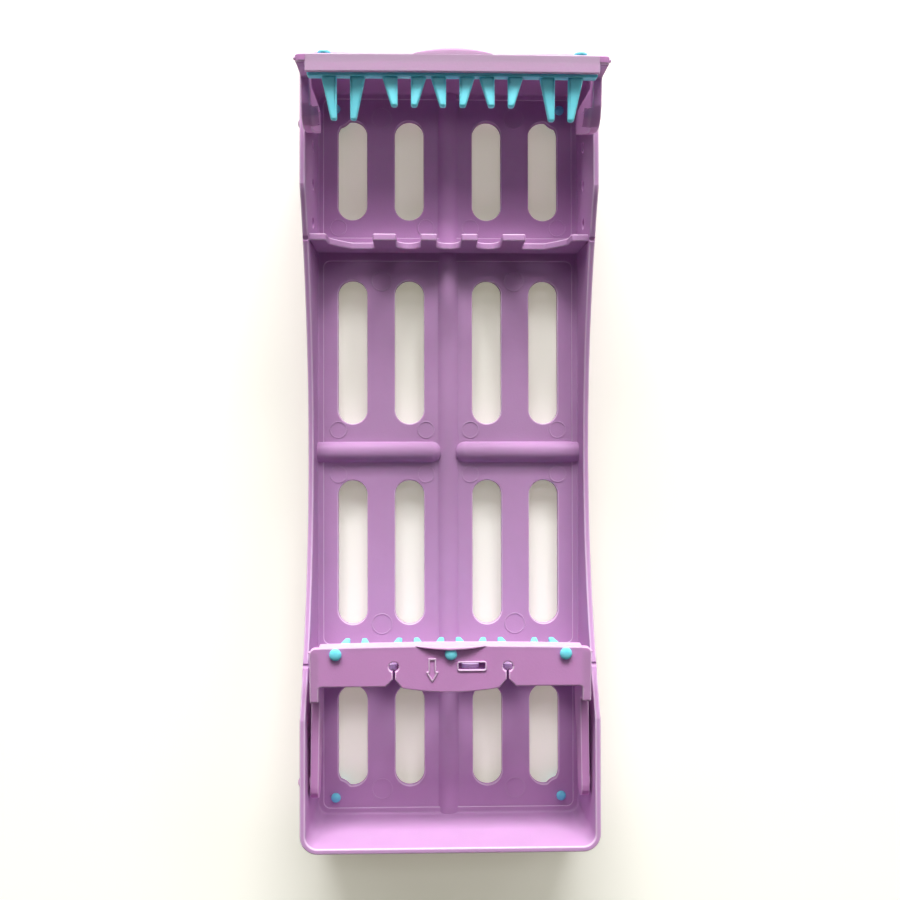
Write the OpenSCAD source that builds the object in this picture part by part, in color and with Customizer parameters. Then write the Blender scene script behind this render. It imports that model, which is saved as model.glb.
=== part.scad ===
// Instrument cassette: a slotted tray with two hinged clamps that hold instruments in notched ribs.
// Millimetres. Origin at the bottom centre, +Z up, +Y towards the end whose clamp stands open.

/* [Tray] */
// Length of the tray over its rim
tray_l = 205; // [190:1:230]
// Width of the tray over its rim
tray_w = 77; // [72:0.5:90]
// Height of the end rim above the floor's top face
rim_h = 22.6; // [20:0.2:28]
// Height of the side rim above the floor at the waist
waist_h = 8; // [5:0.5:14]
// Length of the side rims' dip, from full height to full height
dip_l = 137; // [125:1:145]
// Thickness of the walls
wall_t = 1.5; // [1.2:0.1:2.2]
// Thickness of the floor
floor_t = 2; // [1.5:0.1:3]
// How much further out the rim stands than the foot of the wall
draft = 0.8; // [0.3:0.1:1.2]
// Radius of the rim's outer corners
corner_r = 4.6; // [3.5:0.1:6]
// Bevel along the underside's edge
heel = 1; // [0.4:0.1:1.4]

/* [Floor] */
// Width of a floor slot
slot_w = 8; // [5:0.5:9]
// Distance from the middle to an inner row of slots
slot_inner_x = 10.8; // [9.5:0.1:12]
// Distance from the middle to an outer row of slots
slot_outer_x = 26.6; // [24:0.1:28]
// Length of a middle slot
mid_slot_l = 40; // [30:1:42]
// How far the middle slots stand off their bay's centre, towards the ribs
mid_slot_off = 0.2; // [0:0.1:1]
// Length of an end slot
end_slot_l = 27.8; // [20:0.2:29]
// Height of the border strip that the walls rise from
border_h = 0.4; // [0.2:0.1:0.8]
// Width of that border strip
border_w = 1.7; // [1:0.1:2.2]
// Width of the long ridge
ridge_w = 5.6; // [4:0.2:7]
// Height of the long ridge
ridge_h = 1.2; // [0.8:0.1:1.6]
// Width of the cross ridge
cross_w = 5.8; // [5:0.2:7]
// Height of the cross ridge
cross_h = 2.3; // [1.8:0.1:2.6]
// Gap between the two halves of the cross ridge
cross_gap = 3.7; // [2:0.1:6]
// Radius of the solid floor kept round each foot's hole
boss_r = 5; // [3:0.1:5.5]

/* [Ribs] */
// Distance from the hinge axis to the middle of a rib
rib_step = 29.9; // [29.6:0.1:32]
// Thickness of a rib
rib_t = 1.8; // [1.4:0.1:2.4]
// Height of a rib above the floor
rib_h = 15.6; // [13:0.2:16]
// Depth of the notches
notch_d = 10.6; // [8:0.2:11]
// Width of the three narrow notches
notch_w = 6.4; // [5:0.1:7]
// Inner edge of a wide notch, from the middle
wide_in = 20.2; // [19:0.1:21]
// Outer edge of a wide notch, from the middle
wide_out = 32.8; // [31.5:0.1:33.2]

/* [Vents] */
// Diameter of the round vents in the side walls
vent_d = 3; // [2:0.1:3.4]
// Height of the vents above the floor
vent_z = 8.8; // [7:0.1:10]
// Distance from one vent to the next
vent_pitch = 10.4; // [9:0.1:11]
// Distance from a rib's face to the first vent
vent_first = 4.4; // [3.5:0.1:6]

/* [Hinge] */
// Distance from the tray's end to the hinge axis
hinge_in = 16.1; // [14.5:0.1:17]
// Height of the hinge axes above the floor
hinge_z = 15; // [13:0.1:16.5]
// Radius of a trunnion
trunnion_r = 1.2; // [0.9:0.05:1.6]
// Radial clearance of a trunnion in its bore
trunnion_gap = 0.08; // [0.03:0.01:0.1]
// How far a trunnion stands out of the wall
trunnion_out = 1.5; // [0.2:0.1:2.4]
// Radius of the collar between an arm and the wall
collar_r = 2.1; // [1.8:0.1:2.6]
// Side gap between a collar and the wall
collar_gap = 0.3; // [0.2:0.05:0.5]
// How far the front clamp stands open at rest
front_angle = 5; // [0:1:40]
// How far the rear clamp stands open at rest
rear_angle = 82; // [60:1:100]

/* [Clamp] */
// Gap between the bar's end and the line of the side wall's inner face at the hinge
side_gap = 1.15; // [0.8:0.05:1.8]
// How much further out an arm stands at the hinge than at the bar
arm_splay = 0.6; // [0:0.1:0.7]
// Distance from the hinge axis to the clamp's inner edge
reach = 38.3; // [37:0.1:40]
// Height of the bar's top above the hinge axis
bar_b = 7.8; // [7:0.1:9]
// Thickness of the bar
bar_t = 1.8; // [1.4:0.1:2.2]
// Depth of the bar from front to back, at its ends
bar_d = 10.6; // [10:0.1:12]
// How much deeper the bar is at its middle
bulge = 1.5; // [0.5:0.1:2.5]
// Radius of the bar's inner corners
bar_r = 1.7; // [1:0.1:2.5]
// Thickness of an arm
arm_t = 2.2; // [1.8:0.1:2.8]
// Height of an arm's top edge above the hinge axis
arm_top = 4; // [3.2:0.1:4.6]
// How far an arm reaches past the hinge axis
arm_end = 4; // [3.4:0.1:5]
// Length of the step between the bar and the arms
leg_l = 4; // [2:0.1:6]
// Depth of an arm's keel below the hinge axis
keel_d = 6; // [5:0.1:6.6]
// How much thicker the keel is than the arm
keel_t = 1.9; // [0.8:0.1:2.2]
// Gap between an arm's front edge and the rib
arm_gap = 0.7; // [0.5:0.1:1]
// Height of the flange along the inner edge
flange_h = 4; // [3:0.1:5]
// Thickness of the flange
flange_t = 1; // [0.8:0.1:1.4]
// How far the flange stops short of each end of the bar
flange_end = 2.3; // [2:0.1:4]

/* [Bar details] */
// Width of the thumb lip
lip_w = 18; // [12:0.5:22]
// Height of the thumb lip above the bar
lip_h = 1.3; // [0.8:0.1:2]
// Thickness of the thumb lip at its middle
lip_t = 0.9; // [0.7:0.1:1.2]
// Distance from the middle to each keyhole
key_x = 14.4; // [12:0.1:18]
// Radius of a keyhole
key_r = 1.25; // [0.9:0.05:1.5]
// Distance from the inner edge to a keyhole's centre
key_in = 5.5; // [5:0.1:6]
// Width of a keyhole's slit
key_slit = 0.6; // [0.4:0.05:0.9]
// Half width of the flare at a slit's mouth
key_flare = 2.1; // [1:0.1:2.6]
// Sideways place of the arrow
arrow_x = -4.7; // [-6:0.1:-3]
// Distance from the inner edge to the arrow's tail
arrow_in = 3.2; // [2.8:0.1:4]
// Length of the arrow
arrow_l = 6.2; // [4:0.1:6.4]
// Width of the arrow's head
arrow_w = 3.2; // [2.6:0.1:4]
// Sideways place of the locking slot
lock_x = 5.3; // [4.6:0.1:6]
// Distance from the inner edge to the locking slot's middle
lock_in = 5.3; // [5:0.1:6]
// Width of the locking slot
lock_w = 6.8; // [4:0.1:7.4]
// Opening of the locking slot from front to back
lock_d = 1.85; // [1.2:0.05:2.2]
// Height of the raised lines on the bar
mark_h = 0.25; // [0.15:0.05:0.5]
// Width of the raised lines on the bar
mark_w = 0.35; // [0.25:0.05:0.5]
// How far the small nubs stand out of the bar's ends
nub_out = 0.35; // [0.25:0.05:0.8]
// Radius of a nub
nub_r = 0.4; // [0.3:0.05:0.8]
// Distance from the inner edge to a nub's middle
nub_in = 1.9; // [1.5:0.1:3]

/* [Comb] */
// How far the comb stops short of each end of the bar
comb_end = 2.6; // [2.4:0.1:5]
// Depth of the comb's strip from front to back
strip_d = 3.3; // [3:0.1:3.6]
// How far the strip reaches below the bar
strip_h = 2.8; // [2.2:0.1:3.6]
// Width of a finger at its root
finger_root = 3.5; // [2.6:0.1:3.8]
// Width of a finger at its tip
finger_tip = 1.4; // [1:0.1:2]
// Thickness of a finger from front to back
finger_t = 1.7; // [1.2:0.1:2.4]
// Gap between the two fingers of a pair
pair_gap = 3; // [2:0.1:3.4]
// Distance from the middle to the inner pairs
pair_inner_x = 11; // [10:0.1:12]
// Distance from the middle to the outer pairs
pair_outer_x = 24.8; // [23:0.1:25.5]
// Length of the fingers of the three inner pairs
finger_short = 6.8; // [4:0.1:7.4]
// Length of the fingers of the two outer pairs
finger_long = 9.6; // [7:0.1:10.4]
// How far the short fingers lean forward
lean_short = 9; // [0:1:14]
// How far the long fingers lean forward
lean_long = 2; // [0:1:10]
// Distance from the middle to the outer plugs
plug_x = 29; // [27:0.1:30]
// Radius of a plug's stem
plug_stem_r = 0.9; // [0.6:0.05:1]
// Radius of a plug's head
plug_head_r = 1.55; // [1.3:0.05:1.8]
// Height of a plug's head
plug_head_h = 1; // [0.8:0.1:1.6]

/* [Feet] */
// Distance from a foot's middle to the tray's side
foot_side = 7.2; // [6.8:0.1:9]
// Distance from a foot's middle to the tray's end
foot_end = 6.7; // [6.5:0.1:8]
// Radius of a foot
foot_r = 4; // [3:0.1:4.4]
// Height of a foot below the floor
foot_h = 2.5; // [1.5:0.1:4]
// Radius of a foot's stem
foot_stem_r = 0.9; // [0.6:0.05:1.1]
// Radius of a foot's plug head
foot_head_r = 1.35; // [1.2:0.05:1.6]
// Height of a foot's plug head
foot_head_h = 1.2; // [0.8:0.1:1.6]
// Clearance around the silicone stems in their holes
stem_gap = 0.05; // [0.02:0.01:0.1]

/* [Hidden] */
$fn = 64;
eps = 0.01;
mauve = [0.66, 0.44, 0.68];
turquoise = [0.42, 0.78, 0.84];

floor_z = foot_h + floor_t;             // top of the floor
rim_z = floor_z + rim_h;                // top of the end walls
axis_z = floor_z + hinge_z;             // height of the hinge axes
draft_h = rim_h + floor_t;              // height over which the walls lean out
dip_depth = rim_h - waist_h;
dip_r = (pow(dip_l / 2, 2) + pow(dip_depth, 2)) / (2 * dip_depth);
hinge_y = tray_l / 2 - hinge_in;
rib_y = hinge_y - rib_step;
clamp_w = tray_w - 2 * (lean(axis_z) + wall_t + side_gap);
comb_w = clamp_w - 2 * comb_end;
foot_x = tray_w / 2 - foot_side;
foot_y = tray_l / 2 - foot_end;
nick_r = 0.7;                           // small round nick in each side rim beside a rib
rib_out = rib_y + rib_t / 2;            // face of a rib that looks at the tray's end
bay_gap = 2.4;                          // from a rib's face to the sunk panel beside it
corner_n = 12;                          // straight steps round a corner of the tray's walls
bow_fn = 180;                           // sides of the wide circles that bow a face
dip_fn = 360;                           // sides of the dip's circle
wide_cut = 1;                           // bevel at a wide notch's inner bottom corner
wide_flat = 0.5;                        // share of a wide notch's width that is level
wide_knee = [0.8, 0.3];                 // where its slope steepens: across, and up, as shares of the width
wide_side = [0.94, 0.45];               // where its outer side begins, as shares of the width
keel_low = 0.78;                        // where the keel is deepest, as a share of the arm's front edge
keel_rise = 0.53;                       // where its underside starts to rise towards the hinge
keel_cut = 3.0;                         // how much of the front edge is round below
keel_thick = 0.87;                      // where the thicker keel begins, as a share of the front edge
keel_ledge = [0.08, 0.4];               // height of its sloping top, as shares of the keel's depth
keel_side = [0.7, 1.1];                 // where its sloping underside begins and ends, as such shares
eye_low = 2.3;                          // depth of the arm below the hinge axis
lock_r = 0.4;                           // corner radius of the locking slot
arrow_head = 0.44;                      // length of the arrow's head, as a share of the arrow's length
arrow_shaft = 0.6;                      // width of its shaft, as a share of its head's width
mid_slot_y = (rib_y - rib_t / 2) / 2 + mid_slot_off;
end_slot_y = (rib_out + tray_l / 2 - wall_t - draft) / 2;
vent_y = rib_out + vent_first;
arm_front = hinge_y - rib_out - arm_gap;  // an arm's front edge stays beside the rib
bar_back = reach - bar_d;               // the bar's back edge at its ends
arm_x = clamp_w / 2 - arm_t;            // inner face of an arm
bar_low = bar_b - bar_t;                // underside of the bar
leg_a = bar_back - leg_l;               // where the step between the bar and the arms ends
strip_front = reach - flange_t;         // the strip lies against the flange
finger_in = 1;                          // how far a finger's root reaches into the strip
tip_round = 0.3;                        // rounding of a fingertip, as a share of its width
plug_a = strip_front - strip_d / 3;     // plugs sit over the strip's front half

// How far the walls' outer face stands in from the rim's, at a height above the feet
function lean(z) = draft * (rim_z - z) / draft_h;

// Radius of the circle that a chord of width w bulges from by h
function bow_r(w, h) = (w * w / 4 + h * h) / (2 * h);

// A rectangle with round corners, from plain squares and circles
module round_rect(w, l, r) {
    square([w - 2 * r, l], center = true);
    square([w, l - 2 * r], center = true);
    for (x = [-1, 1], y = [-1, 1])
        translate([x * (w / 2 - r), y * (l / 2 - r)]) circle(r = r);
}

// A rectangle with round corners as one outline of straight steps, for walls that lean
module stepped_rect(w, l, r) {
    polygon([for (q = [0:3], i = [0:corner_n]) let (a = 90 * (q + i / corner_n))
        [(q == 0 || q == 3 ? 1 : -1) * (w / 2 - r) + r * cos(a),
         (q < 2 ? 1 : -1) * (l / 2 - r) + r * sin(a)]]);
}

// A round-cornered block whose sides follow the draft, set in from the outer face by inset
module drafted_block(z0, z1, inset) {
    w0 = tray_w - 2 * (lean(z0) + inset);
    l0 = tray_l - 2 * (lean(z0) + inset);
    w1 = tray_w - 2 * (lean(z1) + inset);
    l1 = tray_l - 2 * (lean(z1) + inset);
    translate([0, 0, z0])
        linear_extrude(height = z1 - z0, scale = [w1 / w0, l1 / l0], slices = 1)
            stepped_rect(w0, l0, corner_r - inset);
}

// A slot with round ends, as a 2D shape
module obround(w, l) {
    square([w, l - w], center = true);
    for (y = [-1, 1]) translate([0, y * (l - w) / 2]) circle(d = w);
}

// The dip of both side rims is one round cut across the tray
module rim_dip() {
    translate([0, 0, floor_z + waist_h + dip_r])
        rotate([0, 90, 0])
            cylinder(r = dip_r, h = tray_w + 2, center = true, $fn = dip_fn);
}

// Sunk panels of the floor, between the border strips
module panel_pockets() {
    pocket_w = tray_w - 2 * (lean(floor_z) + wall_t + border_w);
    end_y = tray_l / 2 - lean(floor_z) - wall_t - border_w;
    mid_l = 2 * (rib_y - rib_t / 2 - bay_gap);
    end_l = end_y - rib_out - bay_gap;
    translate([0, 0, floor_z]) linear_extrude(height = border_h + 1) {
        round_rect(pocket_w, mid_l, border_w);
        for (s = [-1, 1])
            translate([0, s * (end_y - end_l / 2)]) round_rect(pocket_w, end_l, border_w);
    }
}

// Sixteen slots; the corner ones keep clear of the feet's holes
module floor_slots() {
    translate([0, 0, foot_h - 1]) linear_extrude(height = floor_t + 2) difference() {
        for (s = [-1, 1], x = [slot_inner_x, slot_outer_x], t = [-1, 1]) {
            translate([s * x, t * mid_slot_y]) obround(slot_w, mid_slot_l);
            translate([s * x, t * end_slot_y]) obround(slot_w, end_slot_l);
        }
        for (s = [-1, 1], t = [-1, 1]) translate([s * foot_x, t * foot_y]) circle(r = boss_r);
    }
}

// Low round ridges that stiffen the floor
module ridges() {
    long_r = bow_r(ridge_w, ridge_h);
    long_l = tray_l - 2 * (wall_t + draft);
    cross_r = bow_r(cross_w, cross_h);
    cross_l = tray_w / 2 - wall_t / 2 - lean(floor_z) - cross_gap / 2;
    intersection() {
        translate([0, 0, floor_z + ridge_h - long_r])
            rotate([90, 0, 0]) cylinder(r = long_r, h = long_l, center = true);
        translate([-ridge_w, -tray_l / 2, floor_z - floor_t / 2])
            cube([2 * ridge_w, tray_l, floor_t]);
    }
    intersection() {
        for (s = [-1, 1]) {
            translate([s * (cross_gap / 2 + cross_r), 0, floor_z + cross_h - cross_r])
                sphere(r = cross_r);
            translate([s * (cross_gap / 2 + cross_r), 0, floor_z + cross_h - cross_r])
                rotate([0, s * 90, 0]) cylinder(r = cross_r, h = cross_l - cross_r);
        }
        translate([-tray_w / 2, -cross_w, floor_z - floor_t / 2])
            cube([tray_w, 2 * cross_w, floor_t / 2 + cross_h + 1]);
    }
}

// One narrow notch, round at its bottom, and one wide notch, with a sloping outer side
module narrow_notch(x) {
    translate([x, notch_w / 2]) circle(d = notch_w);
    translate([x - notch_w / 2, notch_w / 2]) square([notch_w, rib_h]);
}

module wide_notch() {
    w = wide_out - wide_in;
    polygon([[wide_in, rib_h], [wide_in, wide_cut], [wide_in + wide_cut, 0], [wide_in + wide_flat * w, 0],
             [wide_in + wide_knee[0] * w, wide_knee[1] * w], [wide_in + wide_side[0] * w, wide_side[1] * w],
             [wide_out, rib_h]]);
}

// A cross rib: a plate from wall to wall with five notches, one over each pair of comb fingers
module rib() {
    w = tray_w - 2 * lean(floor_z) - wall_t;
    translate([0, rib_t / 2, floor_z - floor_t / 2]) rotate([90, 0, 0]) linear_extrude(height = rib_t)
        difference() {
            translate([-w / 2, 0]) square([w, rib_h + floor_t / 2]);
            translate([0, floor_t / 2 + rib_h - notch_d]) {
                for (x = [-slot_inner_x, 0, slot_inner_x]) narrow_notch(x);
                wide_notch();
                mirror([1, 0]) wide_notch();
            }
        }
}

// Round vents near both ends of each side wall
module side_vents() {
    for (s = [-1, 1], i = [0:2])
        translate([0, s * (vent_y + i * vent_pitch), floor_z + vent_z])
            rotate([0, 90, 0]) cylinder(d = vent_d, h = tray_w + 2, center = true);
}

// Bores for the clamps' trunnions, through both side walls
module hinge_bores() {
    for (s = [-1, 1])
        translate([0, s * hinge_y, axis_z])
            rotate([0, 90, 0])
                cylinder(r = trunnion_r + trunnion_gap, h = tray_w + 2, center = true);
}

// Small nicks in the side rims, level with the ribs' inner faces
module rim_nicks() {
    y = rib_y - rib_t / 2;
    z = floor_z + waist_h + dip_r - sqrt(dip_r * dip_r - y * y);
    for (s = [-1, 1])
        translate([0, s * y, z]) rotate([0, 90, 0]) cylinder(r = nick_r, h = tray_w + 2, center = true);
}

module foot_holes() {
    for (x = [-1, 1], y = [-1, 1])
        translate([x * foot_x, y * foot_y, foot_h - 1])
            cylinder(r = foot_stem_r + stem_gap, h = floor_t + border_h + 2);
}

module tray() {
    color(mauve) difference() {
        union() {
            difference() {
                union() {
                    drafted_block(foot_h + heel, rim_z, 0);
                    drafted_block(foot_h, foot_h + heel, heel / 2);
                }
                drafted_block(floor_z + border_h, rim_z + 1, wall_t);
                panel_pockets();
            }
            ridges();
            for (s = [-1, 1]) translate([0, s * rib_y, 0]) rib();
        }
        rim_dip();
        floor_slots();
        side_vents();
        hinge_bores();
        rim_nicks();
        foot_holes();
    }
}

// The clamps and combs are drawn with the hinge axis along X through the origin,
// +Y towards the bar and +Z towards the bar's top

// Side view of one arm: rounded end behind the hinge, keel, upright front edge, the bar's end above
module arm_outline() {
    polygon([[0, arm_top], [leg_a, arm_top], [leg_a, bar_b], [reach - bar_r, bar_b],
             [reach - bar_r, bar_low + bar_t / 4], [arm_front, bar_low - bar_t / 2], [arm_front, -keel_d / 6],
             [arm_front - keel_cut / 3, -0.65 * keel_d], [arm_front - keel_cut, -0.9 * keel_d],
             [arm_front * keel_low, -keel_d], [arm_front * keel_rise, -0.85 * keel_d], [0, -eye_low],
             [-0.65 * arm_end, -0.8 * eye_low], [-0.95 * arm_end, -0.3 * eye_low], [-arm_end, 0.2 * arm_top],
             [-0.75 * arm_end, 0.7 * arm_top], [-0.4 * arm_end, 0.95 * arm_top]]);
}

// Turns a side view in the Y-Z plane into a plate of thickness t whose near face is at x
module side_plate(x, t) {
    translate([x, 0, 0]) rotate([90, 0, 90]) linear_extrude(height = t) children();
}

// The thicker keel's cross-section: its top and its bottom slope back to the arm's inner face
module keel_section() {
    polygon([[arm_x + arm_t / 2, -keel_ledge[0] * keel_d], [arm_x - keel_t, -keel_ledge[1] * keel_d],
             [arm_x - keel_t, -keel_side[0] * keel_d], [arm_x - keel_t / 2, -keel_side[1] * keel_d],
             [arm_x + arm_t / 2, -keel_side[1] * keel_d]]);
}

// An arm with its keel, turned out about the end of the step; its nub, its collar and its trunnion
module arm() {
    wall_x = tray_w / 2 - lean(axis_z);
    collar_l = wall_x - wall_t - collar_gap - clamp_w / 2;
    translate([clamp_w / 2, leg_a, 0]) rotate([0, 0, asin(arm_splay / leg_a)])
        translate([-clamp_w / 2, -leg_a, 0]) {
            side_plate(arm_x, arm_t) arm_outline();
            intersection() {
                side_plate(arm_x - keel_t, keel_t + arm_t / 2) arm_outline();
                translate([0, arm_front + 1, 0]) rotate([90, 0, 0])
                    linear_extrude(height = (1 - keel_thick) * arm_front + 1) keel_section();
            }
        }
    rotate([0, 90, 0]) {
        translate([0, 0, clamp_w / 2 - eps]) cylinder(r = collar_r, h = collar_l + eps);
        translate([0, 0, arm_x + arm_t / 2])
            cylinder(r = trunnion_r, h = wall_x + trunnion_out - arm_x - arm_t / 2);
    }
    translate([clamp_w / 2 - nub_out, reach - nub_in, bar_b - bar_t / 2]) rotate([0, 90, 0])
        cylinder(r = nub_r, h = 2 * nub_out);
}

// Plan view of the bar: round inner corners, deeper middle, two keyholes with flared slits
module bar_outline() {
    bow = bow_r(2 * key_x, bulge);
    difference() {
        union() {
            translate([0, reach - bar_d / 2]) square([clamp_w - 2 * bar_r, bar_d], center = true);
            translate([-clamp_w / 2, bar_back]) square([clamp_w, bar_d - bar_r]);
            for (s = [-1, 1]) translate([s * (clamp_w / 2 - bar_r), reach - bar_r]) circle(r = bar_r);
            intersection() {
                translate([0, bar_back - bulge + bow]) circle(r = bow, $fn = bow_fn);
                translate([-key_x, bar_back - bulge - 1]) square([2 * key_x, bulge + 1 + bar_d / 2]);
            }
        }
        for (s = [-1, 1]) translate([s * key_x, 0]) {
            translate([0, reach - key_in]) circle(r = key_r);
            translate([-key_slit / 2, bar_back - 2]) square([key_slit, bar_d - key_in + 2]);
            polygon([[-key_flare, bar_back - eps], [-key_slit / 2, bar_back + key_flare - key_slit / 2],
                     [key_slit / 2, bar_back + key_flare - key_slit / 2], [key_flare, bar_back - eps]]);
        }
        translate([lock_x, reach - lock_in]) round_rect(lock_w, lock_d, lock_r);
        for (x = [-plug_x, 0, plug_x])
            translate([x, plug_a]) circle(r = plug_stem_r + stem_gap);
    }
}

// A block arrow that points away from the bar's inner edge, as a 2D shape grown by g
module arrow_shape(g) {
    neck = g - (1 - arrow_head) * arrow_l;
    shaft = arrow_shaft * arrow_w / 2 + g;
    wing = arrow_w / 2 + 2 * g;
    polygon([[-shaft, g], [shaft, g], [shaft, neck], [wing, neck], [0, -arrow_l - 2 * g], [-wing, neck],
             [-shaft, neck]]);
}

// Raised lines on the bar: the arrow's outline and the rim of the locking slot
module bar_marks() {
    translate([0, 0, bar_b - eps]) linear_extrude(height = mark_h + eps) {
        translate([arrow_x, reach - arrow_in]) difference() {
            arrow_shape(0);
            arrow_shape(-mark_w);
        }
        translate([lock_x, reach - lock_in]) difference() {
            round_rect(lock_w + 2 * mark_w, lock_d + 2 * mark_w, lock_r + mark_w);
            round_rect(lock_w, lock_d, lock_r);
        }
    }
}

// The thumb lip stands on the bar's inner edge, flat in front, bowed behind and along its top
module thumb_lip() {
    plan = bow_r(lip_w, lip_t);
    rise = bow_r(lip_w - lip_t, lip_h);
    intersection() {
        translate([0, 0, bar_b - bar_t / 2]) linear_extrude(height = lip_h + bar_t) intersection() {
            translate([0, reach - lip_t + plan]) circle(r = plan, $fn = bow_fn);
            translate([-lip_w / 2, reach - 2 * lip_t]) square([lip_w, 2 * lip_t]);
        }
        translate([0, reach, bar_b + lip_h - rise]) rotate([90, 0, 0])
            cylinder(r = rise, h = 4 * lip_t, center = true, $fn = bow_fn);
    }
}

module clamp() {
    flange_w = clamp_w - 2 * flange_end;
    translate([0, 0, bar_low]) linear_extrude(height = bar_t) bar_outline();
    translate([-flange_w / 2, strip_front, bar_b - flange_h]) cube([flange_w, flange_t, flange_h - bar_t / 2]);
    thumb_lip();
    bar_marks();
    arm();
    mirror([1, 0, 0]) arm();
}

// One finger: a wedge whose inner side is straight and whose outer side slopes to the tip
module finger(l) {
    translate([0, finger_t / 2, 0]) rotate([90, 0, 0]) linear_extrude(height = finger_t)
        polygon([[0, finger_in], [finger_root, finger_in], [finger_root, 0],
                 [finger_tip, tip_round * finger_tip - l], [(1 - tip_round) * finger_tip, -l],
                 [tip_round * finger_tip, -l], [0, tip_round * finger_tip - l]]);
}

module finger_pair(x, l, tilt) {
    translate([x, strip_front - strip_d / 2, bar_low - strip_h]) rotate([tilt, 0, 0]) {
        translate([pair_gap / 2, 0, 0]) finger(l);
        mirror([1, 0, 0]) translate([pair_gap / 2, 0, 0]) finger(l);
    }
}

// The comb: a strip under the bar, five pairs of fingers, three plugs pulled through the bar
module comb() {
    translate([-comb_w / 2, strip_front - strip_d, bar_low - strip_h]) cube([comb_w, strip_d, strip_h]);
    for (x = [-pair_inner_x, 0, pair_inner_x]) finger_pair(x, finger_short, lean_short);
    for (x = [-pair_outer_x, pair_outer_x]) finger_pair(x, finger_long, lean_long);
    for (x = [-plug_x, 0, plug_x]) translate([x, plug_a, bar_low - eps]) {
        cylinder(r = plug_stem_r, h = bar_t + plug_head_h / 2);
        translate([0, 0, bar_t + eps]) cylinder(r = plug_head_r, h = plug_head_h);
    }
}

// Puts a clamp or a comb at its hinge, opened by its rest angle
module at_front() { translate([0, -hinge_y, axis_z]) rotate([front_angle, 0, 0]) children(); }
module at_rear() {
    translate([0, hinge_y, axis_z]) rotate([0, 0, 180]) rotate([rear_angle, 0, 0]) children();
}

module front_clamp() { color(mauve) at_front() clamp(); }
module rear_clamp() { color(mauve) at_rear() clamp(); }
module front_comb() { color(turquoise) at_front() comb(); }
module rear_comb() { color(turquoise) at_rear() comb(); }

// A foot: a pad below the floor, and a stem that ends in a plug head above it
module foot(x, y) {
    color(turquoise) translate([x * foot_x, y * foot_y, 0]) {
        cylinder(r = foot_r, h = foot_h);
        translate([0, 0, foot_h - eps]) cylinder(r = foot_stem_r, h = floor_t + foot_head_h / 2);
        translate([0, 0, floor_z]) cylinder(r = foot_head_r, h = foot_head_h);
    }
}

module front_left_foot() { foot(-1, -1); }
module front_right_foot() { foot(1, -1); }
module rear_left_foot() { foot(-1, 1); }
module rear_right_foot() { foot(1, 1); }

tray();
front_clamp();
rear_clamp();
front_comb();
rear_comb();
front_left_foot();
front_right_foot();
rear_left_foot();
rear_right_foot();
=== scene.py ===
import bpy
import numpy as np
from mathutils.geometry import tessellate_polygon
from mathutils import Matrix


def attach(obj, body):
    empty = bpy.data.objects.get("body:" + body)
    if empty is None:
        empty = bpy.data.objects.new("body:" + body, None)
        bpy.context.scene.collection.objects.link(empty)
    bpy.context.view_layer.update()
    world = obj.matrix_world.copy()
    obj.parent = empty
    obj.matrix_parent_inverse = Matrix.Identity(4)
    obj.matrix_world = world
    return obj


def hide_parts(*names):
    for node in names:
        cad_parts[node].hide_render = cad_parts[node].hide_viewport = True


# Instrument cassette: a moulded tray, two hinged clamps with soft combs, and four silicone feet.
# Outlines and sizes are in millimetres, in the CAD's frame, and become metres when a mesh is made.
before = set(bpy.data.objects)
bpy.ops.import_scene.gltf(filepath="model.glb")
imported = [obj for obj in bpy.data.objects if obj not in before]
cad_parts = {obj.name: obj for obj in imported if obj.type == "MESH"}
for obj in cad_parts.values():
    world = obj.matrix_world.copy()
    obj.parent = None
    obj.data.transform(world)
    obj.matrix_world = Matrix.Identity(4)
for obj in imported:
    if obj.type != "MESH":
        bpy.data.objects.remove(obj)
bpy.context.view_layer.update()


# Camera. It looks nearly straight down from 0.27 m, a little left of the middle. Its place, its turn
# and its focal length were fitted to the photograph.
photo_px = 900
focal_px = 956.23
sensor_mm = 36
view = bpy.data.cameras.new("camera")
view.sensor_width = sensor_mm
view.lens = sensor_mm * focal_px / photo_px
camera = bpy.data.objects.new("camera", view)
camera.location = (-0.0061321, -0.0023015, 0.2715102)
camera.rotation_euler = (0.0107, -0.0248, -0.0018)
bpy.context.scene.collection.objects.link(camera)
bpy.context.scene.camera = camera
bpy.context.scene.view_settings.view_transform = "Standard"


# Studio light. Two strong soft lamps stand low beyond the rear end, and weaker ones fill in from above,
# from the sides and from the front. Each has its azimuth from +X and its elevation, both in degrees, and
# its power.
lamp_far = 2.4
lamp_size = (1.7, 0.46)
lamps = {"rear_low": (90, 25, 68), "rear": (90, 34, 25), "rear_top": (90, 65, 5),
         "rear_left": (120, 24, 12), "rear_right": (60, 24, 9), "left": (150, 24, 2), "right": (30, 30, 7),
         "right_top": (30, 42, 2), "front": (-90, 20, 3)}
for name, (azimuth, elevation, power) in lamps.items():
    light = bpy.data.lights.new("light_" + name, "AREA")
    light.shape = "RECTANGLE"
    light.size, light.size_y = lamp_size
    light.energy = power
    lamp = bpy.data.objects.new("light_" + name, light)
    turn, up = np.radians((azimuth - 90, elevation))
    level = lamp_far * np.cos(up)
    lamp.location = (-level * np.sin(turn), level * np.cos(turn), lamp_far * np.sin(up))
    lamp.rotation_euler = (up - np.pi / 2, 0, turn)
    bpy.context.scene.collection.objects.link(lamp)


def put(tree, kind, values=None, **settings):
    """Adds one node. Settings are its own properties, and values fill its sockets: each is a number, or a
    socket to link."""
    made = tree.nodes.new(kind)
    for key, value in settings.items():
        setattr(made, key, value)
    for key, value in (values or {}).items():
        if isinstance(value, bpy.types.NodeSocket):
            tree.links.new(value, made.inputs[key])
        else:
            made.inputs[key].default_value = value
    return made


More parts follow.
